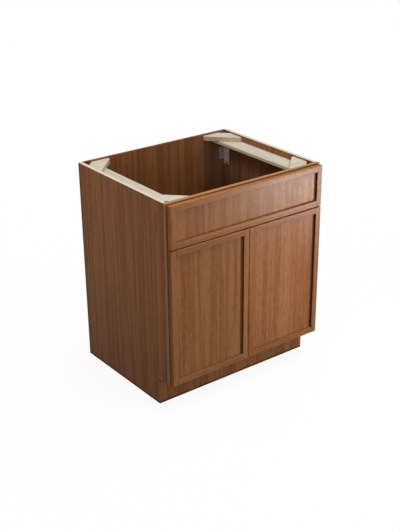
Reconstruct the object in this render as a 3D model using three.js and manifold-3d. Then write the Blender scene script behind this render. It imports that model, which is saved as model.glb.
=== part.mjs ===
// Sink base cabinet: a face-frame case on a recessed toe kick, open at the top for a sink,
// with a fixed false front over a pair of slim-framed doors on concealed single-pivot hinges.
// Millimetres. +X is to the right seen from the front, +Y to the back, +Z up.
// The origin is at the middle of the footprint, on the floor.

import * as THREE from 'three';
import { mergeVertices } from 'three/addons/utils/BufferGeometryUtils.js';
import Module from 'manifold-3d';

const wasm = await Module();
wasm.setup();

// ---------------------------------------------------------------- driving dimensions

// Case
const cabinetWidth = 762;
const cabinetHeight = 876.3;
const caseDepth = 604; // face-frame front to the back edges of the sides
const sideThickness = 16;
const backThickness = 9.5;
const deckThickness = 12.7;
const deckDado = 5; // how far the deck is let into each side
const deckSetDown = 3; // deck top below the top of the bottom frame rail
const toeHeight = 114.3;
const toeRecess = 73; // face-frame front to the toe-kick face
const toeBoardThickness = 12.7;

// Face frame
const frameThickness = 19;
const stileWidth = 38;
const topRailHeight = 38;
const midRailHeight = 38;
const bottomRailHeight = 38;

// Flat rails and corner blocks under the worktop
const sideRailWidth = 76;
const sideRailThickness = 12.7;
const cornerBlockDrop = 6.3; // worktop plane to the tops of the blocks
const cornerBlockThickness = 20;
const cornerBlockReach = 120; // length of a block's edge along the side and the front or back
const cornerBlockNib = 11; // blunt end left at each sharp corner
const cornerBlockClip = 40; // right-angled corner cut away

// Rear corner brackets
const bracketThickness = 2.5;
const bracketDrop = 74; // worktop plane to the top of a bracket
const bracketFlangeWidth = 30;
const bracketFlangeHeight = 57;
const bracketFlangeRound = 9;
const bracketRim = 2.5; // width and extra height of the flange's raised edge
const bracketCheekDepth = 34;
const bracketCheekHeight = 81;
const bracketForkWidth = 12;
const bracketForkDepth = 15;
const bracketShelfWidth = 18; // top lip that joins the flange to the cheek
const bracketHoleRadius = 2.6;
const bracketHoleDrop = 19; // top of the flange to the screw hole

// Fronts
const frontThickness = 19;
const frontGap = 2; // back of the fronts to the face frame
const sideReveal = 4;
const topReveal = 4.5;
const toeReveal = 6.35; // door bottoms above the bottom of the face frame
const falseFrontHeight = 172.8;
const frontSpacing = 4.5; // false front to doors
const meetingGap = 3; // door to door
const frontMemberWidth = 25.4;
const panelRecess = 10;
const panelThickness = 6;
const panelTongue = 5; // how far the panel and the tenons enter the grooves

// Hinges
const hingeInset = 85; // door end to the hinge centre
const pivotFromEdge = 5.4; // pivot axis to the door's outer edge
const pivotDepth = 9.5; // pivot axis in front of the door's back
const pinRadius = 1.2;
const eyeRadius = 2.4;
const armThickness = 1.8;
const armHeight = 16;
const armDip = 0.8; // how much deeper the arm's elbow lies than the pivot
const armSweepRadius = 11.4; // the arm bends outside this circle round the pivot
const armBackOffset = 2; // face frame to the middle of the arm
const plateHeight = 50;
const plateDepth = 14; // plate along the frame's inner edge
const plateHoleSpacing = 32;
const armSlotGap = 1; // arm to the ends of its slot in the stile
const cupSheet = 1.2;
const cupWidth = 16.5;
const cupFromEdge = 2.4; // cup to the door's outer edge
const cupEarLength = 12;
const cupEarThickness = 1;
const screwHoleRadius = 1.9;

// Rubber bumpers and false-front screws
const bumperRadius = 4;
const bumperInset = 12; // bumper centre to the edges of its front
const bumperCompression = 0.3; // bumper face short of the frame
const screwRadius = 2.1;
const screwHeadRadius = 4.2;
const screwHeadThickness = 2.4;
const screwBite = 12; // depth in the false front
const screwInset = 150; // screw to the end of the false front

// Clearances
const jointGap = 0.2; // glue line between wooden pieces
const looseGap = 0.3; // running and fitting clearance

// Modelling
const overshoot = 1; // how far a cutter runs past the face it opens
const roundSides = 24; // sides of a cylinder
const curveSteps = 8; // steps along a rounded corner
const weldDistance = 1e-4; // vertices closer than this are one

// ---------------------------------------------------------------- derived planes

const halfWidth = cabinetWidth / 2;
const overallDepth = frontThickness + frontGap + caseDepth;
const frontY = -overallDepth / 2;
const frontBackY = frontY + frontThickness;
const frameY = frontBackY + frontGap;
const frameBackY = frameY + frameThickness;
const backY = frameY + caseDepth;
const backInnerY = backY - backThickness;
const toeY = frameY + toeRecess;
const sideInnerX = halfWidth - sideThickness;
const frameInnerX = halfWidth - stileWidth;

const deckTop = toeHeight + bottomRailHeight - deckSetDown;
const deckBottom = deckTop - deckThickness;
const blockTop = cabinetHeight - cornerBlockDrop;
const blockBottom = blockTop - cornerBlockThickness;
const sideRailTop = blockBottom - jointGap;

const falseFrontTop = cabinetHeight - topReveal;
const falseFrontBottom = falseFrontTop - falseFrontHeight;
const doorTop = falseFrontBottom - frontSpacing;
const doorBottom = toeHeight + toeReveal;
const doorHeight = doorTop - doorBottom;
const frontOuterX = halfWidth - sideReveal;
const doorWidth = frontOuterX - meetingGap / 2;
const midRailMiddle = falseFrontBottom - frontSpacing / 2;
const topRailMiddle = cabinetHeight - topRailHeight / 2;

// ---------------------------------------------------------------- materials

const stainedWood = new THREE.MeshStandardMaterial({ color: 0x8a5a3c, roughness: 0.5 });
const darkWood = new THREE.MeshStandardMaterial({ color: 0x6f4529, roughness: 0.6 });
const paleWood = new THREE.MeshStandardMaterial({ color: 0xdccfbb, roughness: 0.7 });
const plywoodSide = new THREE.MeshStandardMaterial({ color: 0x7a4c33, roughness: 0.55 });
const greyNylon = new THREE.MeshStandardMaterial({ color: 0x6b6361, roughness: 0.6 });
const nickel = new THREE.MeshStandardMaterial({ color: 0xb9b9b6, roughness: 0.3, metalness: 1 });
const rubber = new THREE.MeshStandardMaterial({ color: 0xd9d6cf, roughness: 0.8 });

// ---------------------------------------------------------------- geometry helpers

// A box from its low and high corners along each axis.
function box(x, y, z) {
  const geometry = new THREE.BoxGeometry(x[1] - x[0], y[1] - y[0], z[1] - z[0]);
  return geometry.translate((x[0] + x[1]) / 2, (y[0] + y[1]) / 2, (z[0] + z[1]) / 2);
}

// A pair of ends in rising order, for lengths measured out from the middle on either side.
function span(side, inner, outer) {
  return side > 0 ? [inner, outer] : [-outer, -inner];
}

function shapeOf(points) {
  return new THREE.Shape(points.map(([x, y]) => new THREE.Vector2(x, y)));
}

// An outline in X and Y, drawn upward from z = 0.
function upright(shape, height) {
  const settings = { depth: height, bevelEnabled: false, curveSegments: curveSteps };
  return new THREE.ExtrudeGeometry(shape, settings);
}

// An outline in Y and Z, drawn out along +X from x = 0.
function sideways(shape, width) {
  const turn = new THREE.Matrix4().makeBasis(
    new THREE.Vector3(0, 1, 0),
    new THREE.Vector3(0, 0, 1),
    new THREE.Vector3(1, 0, 0),
  );
  return upright(shape, width).applyMatrix4(turn);
}

// A cylinder standing on +Z, centred on its middle.
function post(radius, height) {
  return new THREE.CylinderGeometry(radius, radius, height, roundSides).rotateX(Math.PI / 2);
}

// A cylinder lying along Y, centred on its middle.
function peg(radius, length) {
  return new THREE.CylinderGeometry(radius, radius, length, roundSides);
}

// A cylinder lying along X, centred on its middle.
function crossPeg(radius, length) {
  return new THREE.CylinderGeometry(radius, radius, length, roundSides).rotateZ(Math.PI / 2);
}

function solidOf(geometry) {
  const bare = geometry.clone();
  bare.deleteAttribute('normal');
  bare.deleteAttribute('uv');
  const welded = mergeVertices(bare, weldDistance);
  const mesh = new wasm.Mesh({
    numProp: 3,
    vertProperties: new Float32Array(welded.attributes.position.array),
    triVerts: new Uint32Array(welded.index.array),
  });
  return new wasm.Manifold(mesh);
}

function geometryOf(solid) {
  const mesh = solid.getMesh();
  const geometry = new THREE.BufferGeometry();
  geometry.setAttribute('position', new THREE.BufferAttribute(mesh.vertProperties, 3));
  geometry.setIndex(new THREE.BufferAttribute(mesh.triVerts, 1));
  geometry.computeVertexNormals();
  return geometry;
}

function join(first, ...others) {
  return geometryOf(others.reduce((sum, other) => sum.add(solidOf(other)), solidOf(first)));
}

function cut(first, ...others) {
  return geometryOf(others.reduce((rest, other) => rest.subtract(solidOf(other)), solidOf(first)));
}

function piece(name, geometry, material, x = 0, y = 0, z = 0) {
  const mesh = new THREE.Mesh(geometry, material);
  mesh.name = name;
  mesh.position.set(x, y, z);
  return mesh;
}

const sides = [['left', -1], ['right', 1]];

// ---------------------------------------------------------------- case

// A side panel with its toe notch, and a dado for the deck in its inner face.
function sidePanel(name, side) {
  const outline = shapeOf([
    [frameBackY + jointGap, toeHeight],
    [toeY, toeHeight],
    [toeY, 0],
    [backY, 0],
    [backY, cabinetHeight],
    [frameBackY + jointGap, cabinetHeight],
  ]);
  const blank = sideways(outline, sideThickness).translate(-sideThickness / 2, 0, 0);
  const dado = box(
    span(-side, sideThickness / 2 - deckDado, sideThickness / 2 + overshoot),
    [frameBackY - overshoot, backInnerY],
    [deckBottom - jointGap, deckTop + jointGap],
  );
  const x = side * (halfWidth - sideThickness / 2);
  return piece(`${name}_side_panel`, cut(blank, dado), plywoodSide, x);
}

function backPanel() {
  const reach = sideInnerX - jointGap;
  const panel = box([-reach, reach], [-backThickness, 0], [0, cabinetHeight]);
  return piece('back_panel', panel, plywoodSide, 0, backY);
}

function bottomDeck() {
  const reach = sideInnerX + deckDado - jointGap;
  const run = [frameBackY + jointGap, backInnerY - jointGap];
  const deck = box([-reach, reach], run, [0, deckThickness]);
  return piece('bottom_deck', deck, plywoodSide, 0, 0, deckBottom);
}

function toeKickBoard() {
  const reach = sideInnerX - jointGap;
  const height = deckBottom - jointGap;
  const board = box([-reach, reach], [0, toeBoardThickness], [0, height]);
  return piece('toe_kick_board', board, darkWood, 0, toeY);
}

function faceFrame() {
  const group = new THREE.Group();
  group.position.set(0, frameY, 0);
  const run = [0, frameThickness];
  for (const [name, side] of sides) {
    const stile = box(span(side, frameInnerX, halfWidth), run, [toeHeight, cabinetHeight]);
    group.add(piece(`face_frame_${name}_stile`, stile, stainedWood));
  }
  const reach = frameInnerX - jointGap;
  const rails = [
    ['top', topRailMiddle, topRailHeight],
    ['middle', midRailMiddle, midRailHeight],
    ['bottom', toeHeight + bottomRailHeight / 2, bottomRailHeight],
  ];
  for (const [name, middle, height] of rails) {
    const blank = box([-reach, reach], run, [-height / 2, height / 2]);
    const holes = falseFrontScrews
      .filter((screw) => screw.rail === name)
      .map((screw) => peg(screwRadius + looseGap, frameThickness + 2 * overshoot)
        .translate(screw.x, frameThickness / 2, screw.z - middle));
    const rail = holes.length ? cut(blank, ...holes) : blank;
    group.add(piece(`face_frame_${name}_rail`, rail, stainedWood, 0, 0, middle));
  }
  return group;
}

// Flat rails along the sides, carrying the corner blocks.
function sideRail(name, side) {
  const run = [frameBackY + jointGap, backInnerY - jointGap];
  const outer = sideInnerX - jointGap;
  const rail = box(span(side, outer - sideRailWidth, outer), run, [-sideRailThickness, 0]);
  return piece(`${name}_side_rail`, rail, paleWood, 0, 0, sideRailTop);
}

// A corner block: a right triangle with its square corner clipped and its sharp ends blunt.
function cornerBlock(name, side, end) {
  const outline = [
    [cornerBlockClip, 0],
    [cornerBlockReach, 0],
    [cornerBlockReach, cornerBlockNib],
    [cornerBlockNib, cornerBlockReach],
    [0, cornerBlockReach],
    [0, cornerBlockClip],
  ].map(([x, y]) => [-side * x, -end * y]);
  const cornerX = side * (sideInnerX - jointGap);
  const cornerY = end > 0 ? backInnerY - jointGap : frameBackY + jointGap;
  const block = upright(shapeOf(outline), cornerBlockThickness);
  return piece(name, block, paleWood, cornerX, cornerY, blockBottom);
}

// A corner bracket: a flange with a raised rim on the back panel, and a forked cheek beside
// the side panel that holds the rear end of a runner.
function rearBracket(name, side) {
  const inner = -side * bracketFlangeWidth;
  const flange = new THREE.Shape();
  flange.moveTo(0, 0);
  flange.lineTo(inner, 0);
  flange.lineTo(inner, bracketRim * 2 + bracketFlangeRound - bracketFlangeHeight);
  flange.quadraticCurveTo(
    inner,
    -bracketFlangeHeight,
    inner + side * bracketFlangeRound,
    -bracketFlangeHeight,
  );
  flange.lineTo(0, -bracketFlangeHeight);
  const plate = upright(flange, bracketThickness).rotateX(Math.PI / 2);
  const rim = box(
    span(-side, bracketFlangeWidth - bracketRim, bracketFlangeWidth),
    [-bracketThickness - bracketRim, 0],
    [bracketFlangeRound + bracketRim - bracketFlangeHeight, 0],
  );
  const cheek = box(
    span(-side, 0, bracketThickness),
    [-bracketCheekDepth, 0],
    [-bracketCheekHeight, 0],
  );
  const shelf = box(
    span(-side, 0, bracketShelfWidth),
    [-bracketCheekDepth, 0],
    [-bracketThickness, 0],
  );
  const forkMiddle = -bracketCheekDepth / 2;
  const fork = box(
    span(-side, -overshoot, bracketThickness + overshoot),
    [forkMiddle - bracketForkWidth / 2, forkMiddle + bracketForkWidth / 2],
    [-bracketCheekHeight - overshoot, bracketForkDepth - bracketCheekHeight],
  );
  const hole = peg(bracketHoleRadius, bracketThickness + 2 * overshoot)
    .translate(inner / 2, -bracketThickness / 2, -bracketHoleDrop);
  const body = cut(join(plate, rim, cheek, shelf), fork, hole);
  const x = side * (sideInnerX - looseGap);
  const y = backInnerY - looseGap;
  return piece(`${name}_rear_bracket`, body, greyNylon, x, y, cabinetHeight - bracketDrop);
}

// ---------------------------------------------------------------- framed fronts

// The depths of the panel groove, measured forward from the back of a front.
const grooveFront = frontThickness - panelRecess + jointGap;
const grooveBack = frontThickness - panelRecess - panelThickness - jointGap;

// A stile blank standing with its outer edge on x = 0, its body towards the middle of the
// front (inward is +1 or -1), and its back on y = 0.
function frontStile(inward, height) {
  const outline = [
    [0, 0],
    [frontMemberWidth, 0],
    [frontMemberWidth, -grooveBack],
    [frontMemberWidth - panelTongue, -grooveBack],
    [frontMemberWidth - panelTongue, -grooveFront],
    [frontMemberWidth, -grooveFront],
    [frontMemberWidth, -frontThickness],
    [0, -frontThickness],
  ].map(([x, y]) => [inward * x, y]);
  return upright(shapeOf(outline), height);
}

// A rail blank from x = 0, with its outer edge on z = 0, its body upward or downward, its back
// on y = 0, and a stub tenon at each end.
function frontRail(length, upward) {
  const outline = [
    [0, 0],
    [0, frontMemberWidth],
    [-grooveBack, frontMemberWidth],
    [-grooveBack, frontMemberWidth - panelTongue],
    [-grooveFront, frontMemberWidth - panelTongue],
    [-grooveFront, frontMemberWidth],
    [-frontThickness, frontMemberWidth],
    [-frontThickness, 0],
  ].map(([y, z]) => [y, upward * z]);
  const reach = panelTongue - 2 * jointGap;
  const tenon = box(
    [-reach, length + reach],
    [jointGap - grooveFront, -grooveBack - jointGap],
    span(upward, jointGap, frontMemberWidth - panelTongue - jointGap),
  );
  return join(sideways(shapeOf(outline), length), tenon);
}

// Five pieces round a flat panel. The group's origin is at the front's lower left back corner.
// The cutters are taken out of the piece of the same key.
function framedFront(name, width, height, cutters = {}) {
  const group = new THREE.Group();
  const trim = (key, blank) => (cutters[key] ? cut(blank, ...cutters[key]) : blank);
  const railLength = width - 2 * frontMemberWidth - 2 * jointGap;
  const railX = frontMemberWidth + jointGap;
  const left = trim('left_stile', frontStile(1, height));
  const right = trim('right_stile', frontStile(-1, height).translate(width, 0, 0));
  const bottom = trim('bottom_rail', frontRail(railLength, 1).translate(railX, 0, 0));
  const top = trim('top_rail', frontRail(railLength, -1).translate(railX, 0, height));
  group.add(piece(`${name}_left_stile`, left, stainedWood));
  group.add(piece(`${name}_right_stile`, right, stainedWood));
  group.add(piece(`${name}_bottom_rail`, bottom, stainedWood));
  group.add(piece(`${name}_top_rail`, top, stainedWood));
  const edge = frontMemberWidth - panelTongue + looseGap;
  const panel = box(
    [edge, width - edge],
    [-grooveFront + jointGap, -grooveBack - jointGap],
    [edge, height - edge],
  );
  group.add(piece(`${name}_panel`, panel, stainedWood));
  return group;
}

// A rubber bumper stuck to the back of a front.
function bumper(name, x, z) {
  const length = frontGap - bumperCompression;
  return piece(name, peg(bumperRadius, length), rubber, x, length / 2 + looseGap / 2, z);
}

// ---------------------------------------------------------------- false front

const falseFrontScrews = [];
for (const [name, side] of sides) {
  falseFrontScrews.push({
    name: `false_front_screw_top_${name}`,
    rail: 'top',
    x: side * (frontOuterX - screwInset),
    z: falseFrontTop - frontMemberWidth / 2,
  });
  falseFrontScrews.push({
    name: `false_front_screw_bottom_${name}`,
    rail: 'middle',
    x: side * (frontOuterX - screwInset),
    z: (falseFrontBottom + midRailMiddle + midRailHeight / 2) / 2,
  });
}

// A pan-head screw driven forward from the back of the face frame. Its tip is at y = 0.
function falseFrontScrew() {
  const length = screwBite + frontGap + frameThickness + looseGap;
  const shank = peg(screwRadius, length).translate(0, length / 2, 0);
  const head = peg(screwHeadRadius, screwHeadThickness);
  return join(shank, head.translate(0, length + screwHeadThickness / 2, 0));
}

function falseFront() {
  const group = new THREE.Group();
  group.position.set(-frontOuterX, frontBackY, falseFrontBottom);
  const cutters = { top_rail: [], bottom_rail: [] };
  for (const screw of falseFrontScrews) {
    const x = screw.x + frontOuterX;
    const z = screw.z - falseFrontBottom;
    const pilot = peg(screwRadius + looseGap, 2 * (screwBite + looseGap)).translate(x, 0, z);
    cutters[screw.rail === 'top' ? 'top_rail' : 'bottom_rail'].push(pilot);
    group.add(piece(screw.name, falseFrontScrew(), nickel, x, -screwBite, z));
  }
  const width = 2 * frontOuterX;
  group.add(framedFront('false_front', width, falseFrontHeight, cutters));
  const bumperHeights = [['bottom', bumperRadius + jointGap], ['top', falseFrontHeight - bumperInset]];
  for (const [level, z] of bumperHeights) {
    group.add(bumper(`false_front_bumper_${level}_left`, bumperInset, z));
    group.add(bumper(`false_front_bumper_${level}_right`, width - bumperInset, z));
  }
  return group;
}

// ---------------------------------------------------------------- hinges

// All hinge shapes are drawn round the pivot, with inward = +1 on the left door and -1 on the
// right one. The door's back is pivotDepth behind the pivot.

const cupHalf = armHeight / 2 + looseGap + cupSheet; // half height of the cup's box
const cupFloor = -eyeRadius - looseGap; // inside of the cup's floor
const cupOuterX = cupFromEdge - pivotFromEdge; // outer side of the cup, from the pivot
const elbowX = armSweepRadius + armThickness / 2;
const armBackY = pivotDepth + frontGap - armBackOffset;
const plateX = frontOuterX - pivotFromEdge - frameInnerX + looseGap + armThickness / 2;

// Both sides of a bent strip, mitred at its bends.
function stripOutline(line, thickness) {
  const normals = line.slice(1).map(([x, y], i) => {
    const step = new THREE.Vector2(x - line[i][0], y - line[i][1]).normalize();
    return new THREE.Vector2(-step.y, step.x);
  });
  const offsets = line.map((point, i) => {
    const before = normals[Math.max(i - 1, 0)];
    const after = normals[Math.min(i, normals.length - 1)];
    const mitre = before.clone().add(after);
    return mitre.multiplyScalar(thickness / mitre.dot(mitre));
  });
  const leftSide = line.map(([x, y], i) => [x + offsets[i].x, y + offsets[i].y]);
  const rightSide = line.map(([x, y], i) => [x - offsets[i].x, y - offsets[i].y]);
  return [...leftSide, ...rightSide.reverse()];
}

// The arm runs from the eye round the sweep of the door's corner, through the gap behind the
// door, and back along the inner edge of the face frame as a screwed plate.
function hingeArm(inward) {
  const line = [
    [0, 0],
    [elbowX, -armDip],
    [elbowX, armBackY],
    [plateX, armBackY],
    [plateX, armBackY + 2 * armThickness],
  ].map(([x, y]) => [inward * x, y]);
  const outline = shapeOf(stripOutline(line, armThickness));
  const strip = upright(outline, armHeight).translate(0, 0, -armHeight / 2);
  const eye = post(eyeRadius, armHeight);
  const bore = post(pinRadius + looseGap, armHeight + 2 * overshoot);
  const plateStart = pivotDepth + frontGap + looseGap;
  const plate = box(
    span(inward, plateX - armThickness / 2, plateX + armThickness / 2),
    [plateStart, plateStart + plateDepth],
    [-plateHeight / 2, plateHeight / 2],
  );
  const holeY = plateStart + plateDepth / 2;
  const holes = [-1, 1].map((end) => crossPeg(screwHoleRadius, armThickness + 2 * overshoot)
    .translate(inward * plateX, holeY, end * plateHoleSpacing / 2));
  return cut(join(strip, eye, plate), bore, ...holes);
}

// The cup is a folded channel: a floor and two cheeks that hold the pin, with an ear at each
// end screwed to the back of the door stile.
function hingeCup(inward) {
  const across = span(inward, cupOuterX, cupOuterX + cupWidth);
  const channel = box(across, [cupFloor - cupSheet, pivotDepth], [-cupHalf, cupHalf]);
  const room = box(
    span(inward, cupOuterX - overshoot, cupOuterX + cupWidth + overshoot),
    [cupFloor, pivotDepth + overshoot],
    [cupSheet - cupHalf, cupHalf - cupSheet],
  );
  const earRun = [pivotDepth - cupEarThickness, pivotDepth];
  const ears = box(across, earRun, [-cupHalf - cupEarLength, cupHalf + cupEarLength]);
  const middleX = inward * (cupOuterX + cupWidth / 2);
  const earHoles = [-1, 1].map((end) => peg(screwHoleRadius, 2 * (cupEarThickness + overshoot))
    .translate(middleX, pivotDepth, end * (cupHalf + cupEarLength / 2)));
  const pinHole = post(pinRadius + looseGap, 2 * (cupHalf + overshoot));
  return cut(join(channel, ears), room, pinHole, ...earHoles);
}

// What the hinge needs cut out of the back of the door stile.
function hingeMortise(inward) {
  const outer = cupOuterX - looseGap;
  const inner = cupOuterX + cupWidth + looseGap;
  const past = pivotDepth + overshoot;
  const stileInner = frontMemberWidth - pivotFromEdge;
  const pocket = box(
    span(inward, outer, inner),
    [cupFloor - cupSheet - looseGap, past],
    [-cupHalf - looseGap, cupHalf + looseGap],
  );
  const earSeat = box(
    span(inward, outer, inner),
    [pivotDepth - cupEarThickness - looseGap, past],
    [-cupHalf - cupEarLength - looseGap, cupHalf + cupEarLength + looseGap],
  );
  const armWay = box(
    span(inward, inner - overshoot, stileInner + overshoot),
    [pivotDepth - grooveBack - overshoot, past],
    [-armHeight / 2 - armSlotGap, armHeight / 2 + armSlotGap],
  );
  return [pocket, earSeat, armWay];
}

// ---------------------------------------------------------------- doors

const hingeHeights = [['lower', hingeInset], ['upper', doorHeight - hingeInset]];

// A door hung on the outer side, with its hinges and its two bumpers by the meeting edge.
function door(name, side) {
  const group = new THREE.Group();
  const leftEdge = side < 0 ? -frontOuterX : meetingGap / 2;
  group.position.set(leftEdge, frontBackY, doorBottom);
  const inward = -side;
  const pivotX = side < 0 ? pivotFromEdge : doorWidth - pivotFromEdge;
  const mortises = hingeHeights.flatMap(([, z]) => hingeMortise(inward)
    .map((cutter) => cutter.translate(pivotX, -pivotDepth, z)));
  group.add(framedFront(`${name}_door`, doorWidth, doorHeight, { [`${name}_stile`]: mortises }));
  for (const [level, z] of hingeHeights) {
    const hinge = new THREE.Group();
    hinge.position.set(pivotX, -pivotDepth, z);
    hinge.add(piece(`${name}_${level}_hinge_cup`, hingeCup(inward), nickel));
    hinge.add(piece(`${name}_${level}_hinge_pin`, post(pinRadius, 2 * cupHalf), nickel));
    hinge.add(piece(`${name}_${level}_hinge_arm`, hingeArm(inward), nickel));
    group.add(hinge);
  }
  const bumperX = side < 0 ? doorWidth - bumperInset : bumperInset;
  group.add(bumper(`${name}_door_bumper_bottom`, bumperX, bumperInset));
  group.add(bumper(`${name}_door_bumper_top`, bumperX, doorHeight - bumperInset));
  return group;
}

// ---------------------------------------------------------------- cabinet

const cabinet = new THREE.Group();
for (const [name, side] of sides) {
  cabinet.add(sidePanel(name, side));
  cabinet.add(sideRail(name, side));
  cabinet.add(cornerBlock(`front_${name}_corner_block`, side, -1));
  cabinet.add(cornerBlock(`back_${name}_corner_block`, side, 1));
  cabinet.add(rearBracket(name, side));
  cabinet.add(door(name, side));
}
cabinet.add(backPanel());
cabinet.add(bottomDeck());
cabinet.add(toeKickBoard());
cabinet.add(faceFrame());
cabinet.add(falseFront());

export default cabinet;
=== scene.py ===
import math

import bmesh
import bpy
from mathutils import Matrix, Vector


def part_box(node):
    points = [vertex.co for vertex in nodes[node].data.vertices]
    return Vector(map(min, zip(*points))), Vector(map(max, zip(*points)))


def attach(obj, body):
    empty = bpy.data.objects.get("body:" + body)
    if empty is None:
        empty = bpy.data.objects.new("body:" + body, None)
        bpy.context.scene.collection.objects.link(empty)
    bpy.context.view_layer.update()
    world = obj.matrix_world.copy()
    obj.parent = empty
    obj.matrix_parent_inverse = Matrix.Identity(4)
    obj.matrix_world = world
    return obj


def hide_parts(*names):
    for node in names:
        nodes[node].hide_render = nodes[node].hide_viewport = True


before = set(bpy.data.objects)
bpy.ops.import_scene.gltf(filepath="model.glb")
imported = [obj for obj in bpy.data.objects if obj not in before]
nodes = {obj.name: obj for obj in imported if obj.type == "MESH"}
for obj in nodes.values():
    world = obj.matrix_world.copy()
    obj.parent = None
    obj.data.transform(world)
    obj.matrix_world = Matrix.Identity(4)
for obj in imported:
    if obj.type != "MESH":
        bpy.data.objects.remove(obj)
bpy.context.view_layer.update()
print("frame loaded:", len(nodes), "pieces")

mm = 0.001
white = (1, 1, 1, 1)


def lowest(node):
    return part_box(node)[0]


def highest(node):
    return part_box(node)[1]


# the photograph's view, in its frame of 400 x 532
cameraView = {
    "azimuth": 38.33,
    "elevation": 25.30,
    "place": (-2.3322, -3.0797, 2.1762),
    "focalPixels": 1007.7,
    "centreRight": 20.6,  # principal point to the right of the middle, in pixels
    "centreBelow": 15.5,  # and below it
    "imageHeight": 532,
    "sensor": 36.0,
    "farthest": 100,
}


def makeCamera(view):
    lens = bpy.data.cameras.new("camera")
    lens.sensor_width = view["sensor"]
    lens.lens = view["sensor"] * view["focalPixels"] / view["imageHeight"]
    lens.shift_x = -view["centreRight"] / view["imageHeight"]
    lens.shift_y = view["centreBelow"] / view["imageHeight"]
    lens.clip_end = view["farthest"]
    camera = bpy.data.objects.new("camera", lens)
    camera.location = view["place"]
    tilt = math.radians(90 - view["elevation"])
    camera.rotation_euler = (tilt, 0, -math.radians(view["azimuth"]))
    bpy.context.scene.collection.objects.link(camera)
    bpy.context.scene.camera = camera


makeCamera(cameraView)
bpy.context.scene.view_settings.view_transform = "Standard"
print("camera made")


def stain(red, green, blue):
    # screen values, 0 to 255, as the linear colour that a shader takes
    def linear(value):
        value = value / 255
        return value / 12.92 if value <= 0.04045 else ((value + 0.055) / 1.055) ** 2.4
    return (linear(red), linear(green), linear(blue), 1)


class Wire:
    # one output socket, so that sums on it are written as plain Python
    def __init__(self, finish, socket):
        self.finish = finish
        self.socket = socket

    def maths(self, operation, first, second=None):
        return self.finish.node("Math", {"operation": operation}, {0: first, 1: second})

    def __add__(self, other):
        return self.maths("ADD", self, other)

    def __radd__(self, other):
        return self.maths("ADD", other, self)

    def __sub__(self, other):
        return self.maths("SUBTRACT", self, other)

    def __rsub__(self, other):
        return self.maths("SUBTRACT", other, self)

    def __mul__(self, other):
        return self.maths("MULTIPLY", self, other)

    def __rmul__(self, other):
        return self.maths("MULTIPLY", other, self)

    def __gt__(self, other):
        return self.maths("GREATER_THAN", self, other)

    def __lt__(self, other):
        return self.maths("LESS_THAN", self, other)

    def size(self):
        return self.maths("ABSOLUTE", self)

    def atLeast(self, other):
        return self.maths("MAXIMUM", self, other)

    def remainder(self, other):
        return self.maths("MODULO", self, other)


class Finish:
    # a material, or the world, and the nodes that its look is written in
    def __init__(self, owner):
        self.owner = owner
        owner.use_nodes = True
        self.tree = owner.node_tree
        self.tree.nodes.clear()

    def node(self, kind, settings=None, inputs=None, output=0):
        made = self.tree.nodes.new("ShaderNode" + kind)
        for key, value in (settings or {}).items():
            setattr(made, key, value)
        for key, value in (inputs or {}).items():
            if isinstance(value, Wire):
                self.tree.links.new(value.socket, made.inputs[key])
            elif value is not None:
                made.inputs[key].default_value = value
        return Wire(self, made.outputs[output]) if made.outputs else None

    def place(self):
        return self.node("TexCoord", output="Object")

    def side(self):
        # how squarely the surface faces along the piece's own X, Y and Z, from 0 to 1
        return [part.size() for part in self.parts(self.node("TexCoord", output="Normal"))]

    def parts(self, vector):
        return [self.node("SeparateXYZ", inputs={"Vector": vector}, output=i) for i in range(3)]

    def vector(self, operation, first, second=None):
        output = "Value" if operation == "LENGTH" else "Vector"
        return self.node("VectorMath", {"operation": operation}, {0: first, 1: second}, output)

    def noise(self, place, sizes, detail=2.0, roughness=0.5, output=0):
        # noise whose blobs are about these sizes along X, Y and Z, in metres
        squeezed = self.vector("MULTIPLY", place, [1 / size for size in sizes])
        values = {"Vector": squeezed, "Scale": 1.0, "Detail": detail, "Roughness": roughness}
        return self.node("TexNoise", inputs=values, output=output)

    def spread(self, value, low, high, toLow=0.0, toHigh=1.0):
        # from one range to another, held inside it
        inputs = {"Value": value, 1: low, 2: high, 3: toLow, 4: toHigh}
        return self.node("MapRange", inputs=inputs)

    def blend(self, factor, first, second, mode="MIX"):
        # sockets 6 and 7, and output 2, are the ones for colours
        settings = {"data_type": "RGBA", "blend_type": mode}
        return self.node("Mix", settings, {0: factor, 6: first, 7: second}, output=2)

    def grey(self, value):
        return self.node("CombineColor", inputs={"Red": value, "Green": value, "Blue": value})

    def bump(self, height, distance, strength):
        values = {"Height": height, "Distance": distance, "Strength": strength}
        return self.node("Bump", inputs=values)

    def shader(self, **values):
        inputs = {key.replace("_", " "): value for key, value in values.items()}
        return self.show(self.node("BsdfPrincipled", inputs=inputs))

    def show(self, surface, output="OutputMaterial"):
        self.node(output, inputs={"Surface": surface})
        return self.owner


def newFinish(name):
    return Finish(bpy.data.materials.new(name))


# how squarely a surface has to face along an axis to count as one of these
facing = {"flat": 0.95, "end": 0.8, "wall": 0.7, "up": 0.6, "mostly": 0.5, "eased": 0.15}
slack = 1 * mm  # how far past a plane of the cabinet a point still counts as on it

# each piece lies this far on in the grain, in metres, times its own luck from 0 to 1
ownSteps = {"X": 7.3, "Y": 11.9, "Z": 5.1}


def alongAxis(axis, across, along):
    # one value for each of X, Y and Z, where the grain runs along the given axis
    return [along if letter == axis else across for letter in "xyz"]


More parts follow.
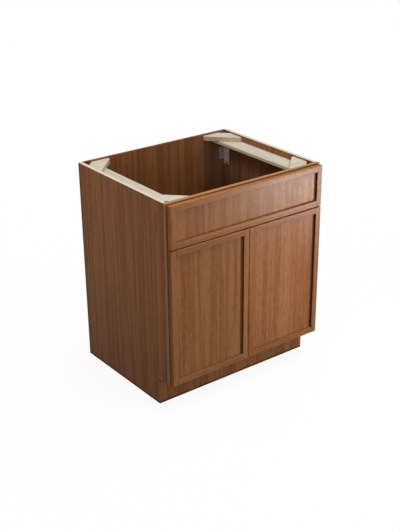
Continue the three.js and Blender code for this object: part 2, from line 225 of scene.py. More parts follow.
def woodGrain(finish, axis, look):
    # the noise of each of the grain's features, and the piece's own luck
    luck = finish.node("ObjectInfo", output="Random")
    steps = {letter: luck * step for letter, step in ownSteps.items()}
    place = finish.vector("ADD", finish.place(), finish.node("CombineXYZ", inputs=steps))
    drift = finish.noise(place, alongAxis(axis, *look["drift"]), detail=1.0, output="Color")
    drift = finish.vector("MULTIPLY", drift, alongAxis(axis, look["wander"], 0))
    place = finish.vector("ADD", place, drift)
    grain = {
        feature: finish.noise(place, alongAxis(axis, across, along), detail, roughness)
        for feature, (across, along, detail, roughness) in look["features"].items()
    }
    return grain, luck


def toned(finish, colour, grain, look, figure=1.0):
    # the colour with each of the look's tones laid over it in turn
    for feature, start, full, share, tone in look["tones"]:
        if feature in look["figured"]:
            share = share * figure
        amount = finish.spread(grain[feature], start, full) * share
        colour = finish.blend(amount, colour, look[tone])
    return colour


stainedLook = {
    "light": stain(168, 115, 71),
    "middle": stain(152, 99, 60),
    "red": stain(138, 85, 51),
    "dark": stain(108, 61, 40),
    # the colour of the painted highlight on the fronts' top and the doors' eased edges
    "edge": stain(186, 118, 62),
    # the pore colour, also the dark of the joint of side and face frame and of most of the painted
    # shade on the stained wood
    "pore": stain(70, 39, 22),
    "bare": stain(192, 136, 80),
    "bareDark": stain(164, 114, 68),
    "roughness": 0.30,
    "gloss": 0.09,
    "drift": (0.09, 0.22),  # how the grain wanders: sizes across and along it, in metres
    "wander": 4 * mm,  # and how far
    "features": {  # sizes across and along the grain, then detail and roughness of the noise
        "leaf": (0.021, 1.0, 1.0, 0.5),
        "streak": (0.010, 0.3, 2.0, 0.6),
        "thread": (0.0028, 0.11, 2.0, 0.5),
        "fleck": (0.005, 0.03, 2.0, 0.5),
        "pore": (0.0008, 0.014, 1.0, 0.5),
    },
    "leaf": (0.41, 0.59),  # noise from red to light
    "calm": (0.64, 0.15),  # share of the middle tone, and what the figure takes away from it
    "tones": (  # feature, noise at which a tone starts and is full, its share, and the tone
        ("streak", 0.40, 0.27, 0.5, "dark"),
        ("thread", 0.46, 0.28, 0.25, "dark"),
        ("fleck", 0.56, 0.74, 0.55, "dark"),
        ("fleck", 0.44, 0.28, 0.5, "light"),
    ),
    "figured": ("streak", "thread"),  # features that grow with the figure
    "endGrain": 0.4,
    "pores": (0.60, 0.70),
    "poreShare": 0.3,
    "unlike": 0.1,  # how far the pieces' tones lie apart
    "height": {"thread": 0.3, "pore": 0.7},
    "relief": (0.12 * mm, 0.5),
    "streakRough": (0.3, 0.7, 0.05, -0.04),  # noise from and to, and what it adds
    "poreRough": 0.08,
    "veneerFigure": 1.15,
    "toeFigure": 1.5,
    "toePaintedShade": 1.2,
}

# where the stain lies unevenly, and where shade and highlights are painted into the colour: how far
# each place reaches, and how much darker or lighter the colour is there
stainAndPaintedLightPlaces = {
    "recess": {"reach": 0.9 * mm, "x": 0.6, "z": 0.12},  # painted shade on the walls round each front's panel
    "top": {"reach": 1.5 * mm, "paintedHighlight": 0.6},  # painted highlight on the top of the fronts
    "eased": {"reach": 2 * mm, "paintedHighlight": 0.6},  # painted highlight on the doors' eased upright edges
    "outer": {"reach": 0.5 * mm, "tint": (0.74, 0.64, 0.55, 1)},  # painted shade on the doors' outer sides
    "joint": {"reach": 2 * mm, "darker": 0.7},  # of side panel and face frame
    "upperRight": {  # painted colour of the shade in the inside's back right corner, lighter and cooler: ranges along X, Y and Z, and its tint
        "ranges": ((225 * mm, 250 * mm), (-60 * mm, 160 * mm), (620 * mm, 700 * mm)),
        "tint": (1.08, 1.35, 1.95, 1),
    },
    "corners": {  # painted shade in the inside's corners, high on the left and at the frame
        "below": (90 * mm, 50 * mm), "left": (34 * mm, 16 * mm), "frame": (45 * mm, 25 * mm),
        "darker": 0.75,
    },
    # painted shade at the foot, by the floor
    "foot": {"below": (11 * mm, 6 * mm), "darker": 0.85},
    "bareTop": {"below": 1 * mm, "behind": (1 * mm, 7 * mm), "grain": (-0.4, 0.2)},
}

recessWalls = {"x": [], "z": []}
for front in ("false_front", "left_door", "right_door"):
    recessWalls["x"] += [highest(f"{front}_left_stile").x, lowest(f"{front}_right_stile").x]
    recessWalls["z"] += [highest(f"{front}_bottom_rail").z, lowest(f"{front}_top_rail").z]
doorEdges = []
for door in ("left_door", "right_door"):
    doorEdges += [lowest(f"{door}_left_stile").x, highest(f"{door}_right_stile").x]
doorsOuter = max(doorEdges)
doorsTop = highest("left_door_left_stile").z
frontsBack = highest("left_door_left_stile").y
frontsTop = highest("false_front_left_stile").z
frameFront = lowest("face_frame_top_rail").y
frameBack = highest("face_frame_left_stile").y
frameOver = highest("face_frame_top_rail").z
caseInside = lowest("right_side_panel").x
caseBack = highest("right_side_panel").y
caseTop = highest("back_panel").z
sideThickness = highest("right_side_panel").x - caseInside
backFace = lowest("back_panel").y
deckTop = highest("bottom_deck").z
toeFace = lowest("toe_kick_board").y
toeTop = highest("toe_kick_board").z
railUnder = lowest("right_side_rail").z
railOver = highest("right_side_rail").z


def near(place, plane, reach):
    return (place - plane).size() < reach


def paintedLightOnFronts(finish, colour, side, reach, look):
    # painted shade on the walls of the recess round each panel, painted highlight on the top and on
    # the doors' eased edges, and painted shade on the doors' outer sides
    onFronts = reach[1] < frontsBack + slack
    onDoors = onFronts * (reach[2] < doorsTop + slack)
    recess = stainAndPaintedLightPlaces["recess"]
    for letter, walls in recessWalls.items():
        number = "xyz".index(letter)
        wallFace = onFronts * (side[number] > facing["wall"])
        for wall in walls:
            paintedShade = wallFace * near(reach[number], wall, recess["reach"])
            colour = finish.blend(paintedShade * recess[letter], colour, look["pore"])
    top = onFronts * (reach[2] > frontsTop - stainAndPaintedLightPlaces["top"]["reach"])
    colour = finish.blend(top * stainAndPaintedLightPlaces["top"]["paintedHighlight"], colour, look["edge"])
    easedFace = onDoors * (side[0] > facing["eased"]) * (side[0] < facing["flat"])
    for edge in doorEdges:
        paintedHighlight = easedFace * near(reach[0], edge, stainAndPaintedLightPlaces["eased"]["reach"])
        colour = finish.blend(paintedHighlight * stainAndPaintedLightPlaces["eased"]["paintedHighlight"], colour, look["edge"])
    outer = onDoors * (side[0] > facing["flat"])
    outer = outer * (reach[0].size() > doorsOuter - stainAndPaintedLightPlaces["outer"]["reach"])
    return finish.blend(outer, colour, stainAndPaintedLightPlaces["outer"]["tint"], "MULTIPLY")


def jointAndPaintedShadeOnCase(finish, colour, side, reach, look):
    # a dark joint of side and face frame, painted shade at the foot and high in the inside's
    # corners, and a lighter, cooler painted colour of shade in the upper back right of the inside
    joint = (side[0] > facing["wall"]) * near(reach[1], frameBack, stainAndPaintedLightPlaces["joint"]["reach"])
    colour = finish.blend(joint * stainAndPaintedLightPlaces["joint"]["darker"], colour, look["pore"])
    within = (reach[0].size() < caseInside + slack) * (reach[1] > frameBack - slack)
    within = within * (reach[1] < backFace + slack)
    cool = within * (reach[2] > deckTop - slack) * (reach[2] < railOver)
    for way, (start, full) in zip(reach, stainAndPaintedLightPlaces["upperRight"]["ranges"]):
        cool = cool * finish.spread(way, start, full)
    colour = finish.blend(cool, colour, stainAndPaintedLightPlaces["upperRight"]["tint"], "MULTIPLY")
    corners = stainAndPaintedLightPlaces["corners"]
    start, full = corners["below"]
    high = within * finish.spread(reach[2], caseTop - start, caseTop - full)
    toLeft = finish.spread(reach[0] + caseInside, *corners["left"])
    toLeft = (side[1] > facing["mostly"]) * toLeft
    toFrame = finish.spread(reach[1] - frameBack, *corners["frame"])
    toFrame = (side[0] > facing["mostly"]) * toFrame
    paintedShade = high * toLeft.atLeast(toFrame) * corners["darker"]
    colour = finish.blend(paintedShade, colour, look["pore"])
    foot = finish.spread(reach[2], *stainAndPaintedLightPlaces["foot"]["below"])
    return finish.blend(foot * stainAndPaintedLightPlaces["foot"]["darker"], colour, look["pore"])


def stainedGrain(finish, axis, look, figure=1.0, strength=1.0):
    # colour, height and unevenness of stained wood whose grain runs along the axis
    grain, luck = woodGrain(finish, axis, look)
    colour = finish.blend(finish.spread(grain["leaf"], *look["leaf"]), look["red"], look["light"])
    calm, lessCalm = look["calm"]
    colour = finish.blend(calm - lessCalm * figure, colour, look["middle"])
    colour = toned(finish, colour, grain, look, figure)
    side = finish.side()
    ends = side["xyz".index(axis)] > facing["end"]
    colour = finish.blend(ends * look["endGrain"], colour, look["dark"])
    reach = finish.parts(finish.place())
    colour = paintedLightOnFronts(finish, colour, side, reach, look)
    colour = jointAndPaintedShadeOnCase(finish, colour, side, reach, look)
    pores = finish.spread(grain["pore"], *look["pores"])
    colour = finish.blend(pores * look["poreShare"], colour, look["pore"])
    # each piece's own tone at random, divided by strength; on the toe board this is painted shade
    # under the doors
    shade = (1 - look["unlike"] / 2 + luck * look["unlike"]) * (1 / strength)
    colour = finish.blend(1.0, colour, finish.grey(shade), "MULTIPLY")
    height = grain["thread"] * look["height"]["thread"] - pores * look["height"]["pore"]
    uneven = finish.spread(grain["streak"], *look["streakRough"]) + pores * look["poreRough"]
    return colour, height, uneven


def stainedWood(name, axis, look, figure=1.0, strength=1.0, bareTop=False):
    # with a bare top, the upward faces behind the frame's front took little stain
    finish = newFinish(name)
    colour, height, uneven = stainedGrain(finish, axis, look, figure, strength)
    if bareTop:
        bare = stainAndPaintedLightPlaces["bareTop"]
        reach = finish.parts(finish.place())
        sawn = (finish.side()[2] > facing["up"]) * (reach[2] > frameOver - bare["below"])
        sawn = sawn * finish.spread(reach[1] - frameFront, *bare["behind"])
        tan = finish.blend(finish.spread(height, *bare["grain"]), look["bareDark"], look["bare"])
        colour = finish.blend(sawn, colour, tan)
    return finish.shader(
        Base_Color=colour,
        Roughness=uneven + look["roughness"],
        Specular_IOR_Level=look["gloss"],
        Normal=finish.bump(height, *look["relief"]),
    )


paleLook = {
    "light": stain(224, 213, 197),
    "middle": stain(213, 200, 182),
    "late": stain(192, 170, 140),
    "cut": stain(236, 226, 210),
    "sawn": stain(216, 190, 146),
    "glue": stain(150, 118, 84),
    "roughness": 0.62,
    "drift": (0.05, 0.16),
    "wander": 6 * mm,
    "features": {
        "board": (0.03, 0.8, 1.0, 0.5),
        "line": (0.0055, 0.3, 3.0, 0.6),
        "pore": (0.0007, 0.009, 1.0, 0.5),
    },
    "board": (0.35, 0.65),  # noise from middle to light
    "tones": (("line", 0.54, 0.30, 0.8, "late"),),
    "figured": (),
    "pores": (0.62, 0.72),
    "poreShare": 0.25,
    "height": {"line": 0.3, "pore": 0.5},
    "relief": (0.15 * mm, 0.5),
    "sawnShare": 0.6,  # how much warmer a sawn edge is
    "contrast": 0.3,  # between the layers of plywood
    "fibre": 1.5 * mm,
    "fibreRange": (0.62, 0.3),
    "fibreShare": 0.2,
    "glueLine": 0.05,  # half its width, as a part of a layer
    "glueShare": 0.4,
}


def paleGrain(finish, axis, look):
    # bare wood: soft broad bands, finer lines of late wood and faint pores
    grain = woodGrain(finish, axis, look)[0]
    bands = finish.spread(grain["board"], *look["board"])
    colour = finish.blend(bands, look["middle"], look["light"])
    colour = toned(finish, colour, grain, look)
    pores = finish.spread(grain["pore"], *look["pores"])
    colour = finish.blend(pores * look["poreShare"], colour, look["glue"])
    return colour, grain["line"] * look["height"]["line"] - pores * look["height"]["pore"]


def plyEdge(finish, through, thickness, plies, look, contrast):
    # the layers seen on a cut edge, where through runs from 0 to the thickness; two more are
    # added so that no remainder is taken of a number below 0
    layer = (through + 2 * thickness) * (plies / thickness)
    odd = layer.remainder(2.0) > 1.0
    colour = finish.blend(odd * contrast, look["cut"], look["late"])
    fibre = finish.spread(finish.noise(finish.place(), [look["fibre"]] * 3), *look["fibreRange"])
    colour = finish.blend(fibre * look["fibreShare"], colour, look["late"])
    glue = (layer.remainder(1.0) - 0.5).size() > 0.5 - look["glueLine"]
    return finish.blend(glue * look["glueShare"], colour, look["glue"])


def paleWood(name, axis, look):
    # bare wood whose sawn edges are a little warmer than its planed faces
    finish = newFinish(name)
    colour, height = paleGrain(finish, axis, look)
    sawn = finish.side()[2] < facing["mostly"]
    warmer = finish.blend(look["sawnShare"], colour, look["sawn"])
    return finish.shader(
        Base_Color=finish.blend(sawn, colour, warmer),
        Roughness=look["roughness"],
        Normal=finish.bump(height, *look["relief"]),
    )


railLook = {
    "plies": 3,
    "contrast": 0.5,
    "warmth": (1.0, 0.95, 0.80, 1),
    "paintedLightByWall": (24 * mm, 10 * mm),  # painted light, paler from here to here off the side panel, where it lifts the shade by the wall
}


def paleRailWood(name, look, rail):
    # a rail cut from plywood: pale faces with painted light by the wall, and layers along the cut
    # edges
    finish = newFinish(name)
    colour, height = paleGrain(finish, "y", look)
    flat = finish.side()[2] > facing["mostly"]
    reach = finish.parts(finish.place())
    start, full = rail["paintedLightByWall"]
    paintedLightByWall = finish.spread(reach[0].size(), caseInside - start, caseInside - full)
    colour = finish.blend(paintedLightByWall, colour, look["cut"])
    depth = reach[2] - railUnder
    thickness = railOver - railUnder
    layers = plyEdge(finish, depth, thickness, rail["plies"], look, rail["contrast"])
    layers = finish.blend(1.0, layers, rail["warmth"], "MULTIPLY")
    return finish.shader(
        Base_Color=finish.blend(flat, layers, colour),
        Roughness=look["roughness"],
        Normal=finish.bump(height, *look["relief"]),
    )


sideLook = {
    "plies": 7,
    "figure": 1.6,
    "outside": (0.90, 0.83, 0.70, 1),  # tint of the outer faces
    "low": {"height": (0.45, 0.1), "darker": 0.17},  # painted shade on the outer faces, towards the floor
    # painted shade at the back end of the outer faces
    "backEnd": {"before": (11 * mm, 6 * mm), "darker": 0.85},
    # painted shade inside, under the rail
    "underRail": {"below": (125 * mm, 72 * mm), "darker": 0.6},
    "toFront": {"alongY": (120 * mm, -20 * mm), "alongZ": (0.62, 0.70), "darker": 0.3},  # painted shade inside, high at the front
    "notch": (1 * mm, 5 * mm),  # how far past the toe board the notch's edge is looked for
}


def sidePanelWood(name, look, pale, panel):
    # stained veneer with painted shade outside towards the floor and at the back end, and inside
    # under the rail and high at the front; its layers are bare on the top, back and bottom edges,
    # and the edge of the toe notch is stained like the faces
    finish = newFinish(name)
    colour, height, uneven = stainedGrain(finish, "z", look, panel["figure"])
    x, y, z = finish.parts(finish.place())
    outside = x.size() > caseInside + sideThickness / 2
    colour = finish.blend(outside, colour, panel["outside"], "MULTIPLY")
    low = outside * finish.spread(z, *panel["low"]["height"])
    colour = finish.blend(low * panel["low"]["darker"], colour, look["pore"])
    start, full = panel["backEnd"]["before"]
    backEnd = outside * finish.spread(y, caseBack - start, caseBack - full)
    colour = finish.blend(backEnd * panel["backEnd"]["darker"], colour, look["pore"])
    inside = (x.size() < caseInside + slack) * (z < railUnder)
    start, full = panel["underRail"]["below"]
    under = inside * finish.spread(z, railUnder - start, railUnder - full)
    colour = finish.blend(under * panel["underRail"]["darker"], colour, look["pore"])
    toFront = inside * finish.spread(y, *panel["toFront"]["alongY"])
    toFront = toFront * finish.spread(z, *panel["toFront"]["alongZ"])
    colour = finish.blend(toFront * panel["toFront"]["darker"], colour, look["pore"])
    layers = plyEdge(
        finish, x.size() - caseInside, sideThickness, panel["plies"], pale, pale["contrast"],
    )
    notch = (y < toeFace + panel["notch"][0]) * (z < toeTop + panel["notch"][1])
    stained = (finish.side()[0] > facing["mostly"]).atLeast(notch)
    rough = uneven + look["roughness"]
    return finish.shader(
        Base_Color=finish.blend(stained, layers, colour),
        Roughness=rough * stained + (1 - stained) * pale["roughness"],
        Specular_IOR_Level=look["gloss"],
        Normal=finish.bump(height, *look["relief"]),
    )


nickelLook = {
    "colour": stain(196, 194, 188),
    "dull": stain(168, 165, 158),
    "roughness": 0.24,
    "scratch": (0.4 * mm, 0.4 * mm, 12 * mm),
    "cloud": (8 * mm, 8 * mm, 8 * mm),
    "dullRange": (0.4, 0.7),
    "scratchRough": (0.3, 0.7, -0.06, 0.08),  # noise from and to, and what it adds
    "cloudRough": (0.5, 0.8, 0.0, 0.1),
    "relief": (0.04 * mm, 0.4),
}


def nickelSteel(name, look):
    # plated sheet: fine rolled scratches one way and faint handling marks
    finish = newFinish(name)
    scratch = finish.noise(finish.place(), look["scratch"])
    cloud = finish.noise(finish.place(), look["cloud"], detail=3.0)
    dull = finish.spread(cloud, *look["dullRange"])
    rough = finish.spread(scratch, *look["scratchRough"]) + look["roughness"]
    return finish.shader(
        Base_Color=finish.blend(dull, look["colour"], look["dull"]),
        Metallic=1.0,
        Roughness=rough + finish.spread(cloud, *look["cloudRough"]),
        Normal=finish.bump(scratch, *look["relief"]),
    )


nylonLook = {
    "colour": stain(200, 194, 190),
    "worn": stain(222, 217, 212),
    "roughness": 0.42,
    "spark": (0.6 * mm, 0.6 * mm, 0.6 * mm),
    "flow": (12 * mm, 12 * mm, 30 * mm),
    "wornRange": (0.4, 0.65),
    "sparkRough": (0.3, 0.7, -0.06, 0.06),
    "relief": (0.08 * mm, 0.6),
}


def greyNylon(name, look):
    # moulded plastic with the fine spark texture of its mould
    finish = newFinish(name)
    spark = finish.noise(finish.place(), look["spark"])
    worn = finish.spread(finish.noise(finish.place(), look["flow"]), *look["wornRange"])
    return finish.shader(
        Base_Color=finish.blend(worn, look["colour"], look["worn"]),
        Roughness=finish.spread(spark, *look["sparkRough"]) + look["roughness"],
        Normal=finish.bump(spark, *look["relief"]),
    )


rubberLook = {
    "colour": stain(222, 218, 208),
    "dusty": stain(200, 193, 178),
    "roughness": 0.55,
    "dust": (2 * mm, 2 * mm, 2 * mm),
    "dustRange": (0.45, 0.7),
    "dustRough": (0.3, 0.7, -0.1, 0.15),
    "milky": 0.2,
    "relief": (0.05 * mm, 0.5),
}


def bumperRubber(name, look):
    # milky soft rubber that has picked up a little dust
    finish = newFinish(name)
    dust = finish.noise(finish.place(), look["dust"], detail=3.0)
    dusty = finish.spread(dust, *look["dustRange"])
    return finish.shader(
        Base_Color=finish.blend(dusty, look["colour"], look["dusty"]),
        Roughness=finish.spread(dust, *look["dustRough"]) + look["roughness"],
        Subsurface_Weight=look["milky"],
        Subsurface_Scale=1 * mm,
        Normal=finish.bump(dust, *look["relief"]),
    )


veneerFigure = stainedLook["veneerFigure"]
finishes = {
    "stile": stainedWood("stained_wood_upright", "z", stainedLook),
    "rail": stainedWood("stained_wood_level", "x", stainedLook),
    "veneer": stainedWood("stained_veneer_upright", "z", stainedLook, veneerFigure),
    "deck": stainedWood("stained_veneer_level", "x", stainedLook, veneerFigure),
    "toe": stainedWood(
        "stained_toe_board", "z", stainedLook, stainedLook["toeFigure"], stainedLook["toePaintedShade"],
    ),
    "frameStile": stainedWood("stained_frame_upright", "z", stainedLook, bareTop=True),
    "frameRail": stainedWood("stained_frame_level", "x", stainedLook, bareTop=True),
    "side": sidePanelWood("stained_side_panel", stainedLook, paleLook, sideLook),
    "block": paleWood("pale_block_wood", "x", paleLook),
    "sideRail": paleRailWood("pale_rail_ply", paleLook, railLook),
    "nickel": nickelSteel("nickel_plated_steel", nickelLook),
    "nylon": greyNylon("grey_moulded_nylon", nylonLook),
    "rubber": bumperRubber("bumper_rubber", rubberLook),
}
print("finishes written:", len(finishes))


dressing = {
    "merge": 0.002 * mm,
    "flat": math.radians(0.5),  # faces that meet at less than this become one
    "sharp": math.radians(40),  # edges from here on are eased
    "crease": math.radians(50),  # and from here on they stay sharp in the shading
    "onPlane": 0.05 * mm,
    "evening": 100,  # how strongly the shading goes by the larger faces
}


def onPlane(edge, axis, value):
    return all(abs(vertex.co[axis] - value) < dressing["onPlane"] for vertex in edge.verts)


def dressed(node, name, body, finish, ease, steps=2, square=(), shortest=0.0):
    # a copy of a made piece with its corners eased, except those on the named sides, such as
    # "x-" for its lowest X, where it meets its neighbour
    source = nodes[node].data
    planes = []
    for letter, end in square:
        axis = "xyz".index(letter)
        planes.append((axis, (highest(node) if end == "+" else lowest(node))[axis]))
    form = bmesh.new()
    corners = [form.verts.new(vertex.co) for vertex in source.vertices]
    for polygon in source.polygons:
        form.faces.new([corners[i] for i in polygon.vertices])
    bmesh.ops.remove_doubles(form, verts=form.verts, dist=dressing["merge"])
    bmesh.ops.dissolve_limit(
        form, angle_limit=dressing["flat"], verts=form.verts, edges=form.edges,
    )
    form.normal_update()
    sharp = [
        edge for edge in form.edges
        if len(edge.link_faces) == 2
        and edge.calc_face_angle() > dressing["sharp"]
        and edge.calc_length() > shortest
        and not any(onPlane(edge, axis, value) for axis, value in planes)
    ]
    bmesh.ops.bevel(
        form, geom=sharp, offset=ease, offset_type="OFFSET", segments=steps,
        profile=0.5, affect="EDGES", clamp_overlap=True,
    )
    mesh = bpy.data.meshes.new(name)
    form.to_mesh(mesh)
    form.free()
    return placed(mesh, name, body, finish, [node])


def placed(mesh, name, body, finish, replaced=()):
    mesh.materials.append(finish)
    form = bmesh.new()
    form.from_mesh(mesh)
    for face in form.faces:
        face.smooth = True
    for edge in form.edges:
        folded = len(edge.link_faces) == 2 and edge.calc_face_angle() > dressing["crease"]
        edge.smooth = not folded
    form.to_mesh(mesh)
    form.free()
    piece = bpy.data.objects.new(name, mesh)
    bpy.context.scene.collection.objects.link(piece)
    evening = piece.modifiers.new("evenNormals", "WEIGHTED_NORMAL")
    evening.weight = dressing["evening"]
    evening.keep_sharp = True
    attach(piece, body)
    if replaced:
        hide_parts(*replaced)
    return piece


def kept(node, finish):
    # a made piece whose shape is already right
    piece = nodes[node]
    piece.data.materials.clear()
    piece.data.materials.append(finish)


# how far each kind of edge is eased, and below what length it is left
caseEase = {
    "panel": 0.4 * mm,
    "frame": 0.9 * mm,
    "block": 1.0 * mm,
    "rail": 0.5 * mm,
    "bracket": 0.6 * mm,
    "bracketShortest": 1.5 * mm,
    "frameShortest": 5 * mm,
}

for side, outer in (("left", "x-"), ("right", "x+")):
    dressed(
        f"{side}_side_panel", f"{side}_side_panel_ply", "case",
        finishes["side"], caseEase["panel"], square=("y-",),
    )
    dressed(
        f"face_frame_{side}_stile", f"face_frame_{side}_stile_wood", "case",
        finishes["frameStile"], caseEase["frame"], square=("y+",),
    )
    dressed(
        f"{side}_side_rail", f"{side}_side_rail_ply", "case",
        finishes["sideRail"], caseEase["rail"], square=("y-", "y+", outer),
    )
    for end in ("front", "back"):
        dressed(
            f"{end}_{side}_corner_block", f"{end}_{side}_corner_block_wood", "case",
            finishes["block"], caseEase["block"],
        )
    dressed(
        f"{side}_rear_bracket", f"{side}_rear_bracket_moulding", "case",
        finishes["nylon"], caseEase["bracket"], shortest=caseEase["bracketShortest"],
    )
for level in ("top", "middle", "bottom"):
    dressed(
        f"face_frame_{level}_rail", f"face_frame_{level}_rail_wood", "case",
        finishes["frameRail"], caseEase["frame"], square=("x-", "x+"),
        shortest=caseEase["frameShortest"],
    )
dressed(
    "back_panel", "back_panel_ply", "case",
    finishes["veneer"], caseEase["panel"], square=("x-", "x+"),
)
dressed(
    "toe_kick_board", "toe_kick_board_ply", "case",
    finishes["toe"], caseEase["panel"], square=("x-", "x+", "z+"),
)
kept("bottom_deck", finishes["deck"])
print("case dressed")


frontEase = {
    "member": 1.4 * mm, "steps": 3, "stileShortest": 20 * mm, "railShortest": 60 * mm,
}

fronts = (("false_front", "case"), ("left_door", "left_door"), ("right_door", "right_door"))
for front, body in fronts:
    for side in ("left", "right"):
        dressed(
            f"{front}_{side}_stile", f"{front}_{side}_stile_wood", body,
            finishes["stile"], frontEase["member"], frontEase["steps"],
            shortest=frontEase["stileShortest"],
        )
    for level in ("top", "bottom"):
        dressed(
            f"{front}_{level}_rail", f"{front}_{level}_rail_wood", body,
            finishes["rail"], frontEase["member"], frontEase["steps"],
            shortest=frontEase["railShortest"],
        )
    kept(f"{front}_panel", finishes["veneer"])
print("fronts dressed")


hardwareEase = {
    "sheet": 0.25 * mm, "sheetShortest": 1 * mm, "bumper": 0.7 * mm, "bumperSteps": 3,
}

for side in ("left", "right"):
    for level in ("lower", "upper"):
        for part, body in (("arm", "case"), ("cup", f"{side}_door")):
            dressed(
                f"{side}_{level}_hinge_{part}", f"{side}_{level}_hinge_{part}_sheet", body,
                finishes["nickel"], hardwareEase["sheet"],
                shortest=hardwareEase["sheetShortest"],
            )
        kept(f"{side}_{level}_hinge_pin", finishes["nickel"])
    for level in ("bottom", "top"):
        bumpers = (
            (f"{side}_door_bumper_{level}", f"{side}_door"),
            (f"false_front_bumper_{level}_{side}", "case"),
        )
        for bumper, body in bumpers:
            dressed(
                bumper, f"{bumper}_dome", body, finishes["rubber"],
                hardwareEase["bumper"], hardwareEase["bumperSteps"],
            )
print("hardware dressed")


# every screw has a domed head with a cross cut into it
screwShape = {
    "sides": 32,
    "rings": (0.14, 0.26, 0.38, 0.48, 0.56, 0.68, 0.82, 0.94, 1.0),  # of the head's radius
    "dome": 0.4,  # how much of its height the head loses towards the rim
    "crossReach": 0.55,
    "crossHalfWidth": 0.14,
    "crossDepth": 0.65,  # of the head's height
}


def screw(name, body, base, outward, head, height, shank=0.0, length=0.0, replaced=()):
    # base is the middle of the head's seat, and outward is the way that the head looks
    look = screwShape
    count = look["sides"]
    turn = Vector(outward).to_track_quat("Z", "Y").to_matrix()
    rings = [(part, None) for part in look["rings"]] + [(1.0, 0.0)]
    if shank:
        rings += [(shank / head, 0.0), (shank / head, -length)]

    def level(part, angle):
        top = height * (1 - look["dome"] * part ** 2)
        arm = abs(math.remainder(angle, math.pi / 2))
        inCross = part <= look["crossReach"] and part * math.sin(arm) < look["crossHalfWidth"]
        return top - look["crossDepth"] * height * inCross

    points = [(0, 0, level(0, 0))]
    for part, fixed in rings:
        for i in range(count):
            angle = math.tau * i / count
            z = level(part, angle) if fixed is None else fixed
            points.append((head * part * math.cos(angle), head * part * math.sin(angle), z))
    points.append((0, 0, -length))

    faces = []
    for i in range(count):
        after = (i + 1) % count
        faces.append((0, 1 + i, 1 + after))
        for ring in range(len(rings) - 1):
            start = 1 + ring * count
            faces.append((start + i, start + count + i, start + count + after, start + after))
        last = 1 + (len(rings) - 1) * count
        faces.append((last + i, len(points) - 1, last + after))
    mesh = bpy.data.meshes.new(name)
    mesh.from_pydata([turn @ Vector(point) + Vector(base) for point in points], [], faces)
    return placed(mesh, name, body, finishes["nickel"], replaced)


hingeScrews = {
    "head": 3.3 * mm, "height": 1.5 * mm, "holeSpacing": 32 * mm, "fromBack": 7 * mm,
    "flatHead": 2.9 * mm, "flatHeight": 0.3 * mm, "fromEarEnd": 6 * mm,
}
frontScrews = {"head": 4.2 * mm, "height": 2.4 * mm, "shank": 2.1 * mm}

for side, inward in (("left", 1), ("right", -1)):
    for level in ("lower", "upper"):
        armLow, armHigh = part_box(f"{side}_{level}_hinge_arm")
        cupLow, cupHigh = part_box(f"{side}_{level}_hinge_cup")
        for end, mark in ((-1, "a"), (1, "b")):
            screw(
                f"{side}_{level}_hinge_plate_screw_{mark}", "case",
                (
                    armHigh.x if inward > 0 else armLow.x,
                    armHigh.y - hingeScrews["fromBack"],
                    (armLow.z + armHigh.z + end * hingeScrews["holeSpacing"]) / 2,
                ),
                (inward, 0, 0), hingeScrews["head"], hingeScrews["height"],
            )
            ear = cupLow.z + hingeScrews["fromEarEnd"]
            if end > 0:
                ear = cupHigh.z - hingeScrews["fromEarEnd"]
            screw(
                f"{side}_{level}_hinge_cup_screw_{mark}", f"{side}_door",
                ((cupLow.x + cupHigh.x) / 2, cupHigh.y, ear),
                (0, 1, 0), hingeScrews["flatHead"], hingeScrews["flatHeight"],
            )
    for level in ("bottom", "top"):
        node = f"false_front_screw_{level}_{side}"
        low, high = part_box(node)
        seat = high.y - frontScrews["height"]
        screw(
            f"{node}_cross_head", "case", ((low.x + high.x) / 2, seat, (low.z + high.z) / 2),
            (0, 1, 0), frontScrews["head"], frontScrews["height"],
            frontScrews["shank"], seat - low.y, [node],
        )
print("screws made")


studio = {
    "sky": 0.55,  # light from all round
    "reflected": 0.3,  # how bright the white surround is in a reflection
    "floorPale": 0.1,
    "floorShadow": 0.08,
    "shadowEnds": (0.9, 2.2),  # metres from the middle, over which the floor turns plain white
    "floorHalf": 40.0,
    "overhead": {"from": (0.25, -0.17, 1.0), "spread": 30, "strength": 1.38},
    "low": {
        "place": (1.30, -1.45, 0.36), "aim": (0.1, -0.3, 0.95),
        "size": (0.5, 0.45), "spread": 110, "power": 9.0, "colour": (1, 1, 1),
    },
    "left": {
        "place": (-1.45, 0.0, 1.15), "aim": (-0.38, 0, 0.88),
        "size": (0.7, 0.4), "spread": 110, "power": 0.9, "colour": (1.0, 0.93, 0.84),
    },
}


def seenWhite(finish, bright):
    # 1 for the camera, and less for what only shows in gloss or through glass
    camera, gloss, through = [
        finish.node("LightPath", output=f"Is {ray} Ray")
        for ray in ("Camera", "Glossy", "Transmission")
    ]
    return camera.atLeast(gloss.atLeast(through) * bright)


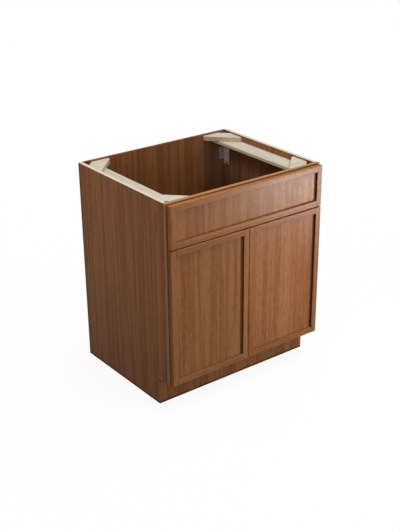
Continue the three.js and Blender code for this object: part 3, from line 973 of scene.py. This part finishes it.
def makeFloor(look):
    finish = newFinish("studio_floor")
    seen = seenWhite(finish, look["reflected"])
    pale = look["floorPale"] + seen * (1 - look["floorPale"])
    glow = finish.node("Emission", inputs={"Color": white, "Strength": 1.0})
    plain = finish.node("BsdfDiffuse", inputs={"Color": finish.grey(pale)})
    away = finish.vector("LENGTH", finish.place())
    close = finish.spread(away, *look["shadowEnds"], 1.0, 0.0)
    shown = seen * (1 - close * look["floorShadow"])
    finish.show(finish.node("MixShader", inputs={0: shown, 1: plain, 2: glow}))
    half = look["floorHalf"]
    corners = [(-half, -half, 0), (half, -half, 0), (half, half, 0), (-half, half, 0)]
    mesh = bpy.data.meshes.new("floor")
    mesh.from_pydata(corners, [], [(0, 1, 2, 3)])
    mesh.materials.append(finish.owner)
    floor = bpy.data.objects.new("floor", mesh)
    bpy.context.scene.collection.objects.link(floor)


def makeWorld(look):
    world = bpy.data.worlds.new("studio")
    bpy.context.scene.world = world
    finish = Finish(world)
    bright = seenWhite(finish, look["reflected"]).atLeast(look["sky"])
    surround = finish.node("Background", inputs={"Color": white, "Strength": bright})
    finish.show(surround, "OutputWorld")


def hang(name, light, place, aim):
    lamp = bpy.data.objects.new(name, light)
    lamp.location = place
    lamp.rotation_euler = (Vector(aim) - Vector(place)).to_track_quat("-Z", "Y").to_euler()
    bpy.context.scene.collection.objects.link(lamp)
    return lamp


def makeOverhead(look):
    light = bpy.data.lights.new("overhead", "SUN")
    light.energy = look["strength"]
    light.angle = math.radians(look["spread"])
    hang("overhead", light, look["from"], (0, 0, 0))


def makeSoftbox(name, look):
    light = bpy.data.lights.new(name, "AREA")
    light.shape = "RECTANGLE"
    light.size, light.size_y = look["size"]
    light.energy = look["power"]
    light.spread = math.radians(look["spread"])
    light.color = look["colour"]
    lamp = hang(name, light, look["place"], look["aim"])
    lamp.visible_camera = False


makeFloor(studio)
makeWorld(studio)
makeOverhead(studio["overhead"])
for box in ("low", "left"):
    makeSoftbox(box, studio[box])
print("studio lit")
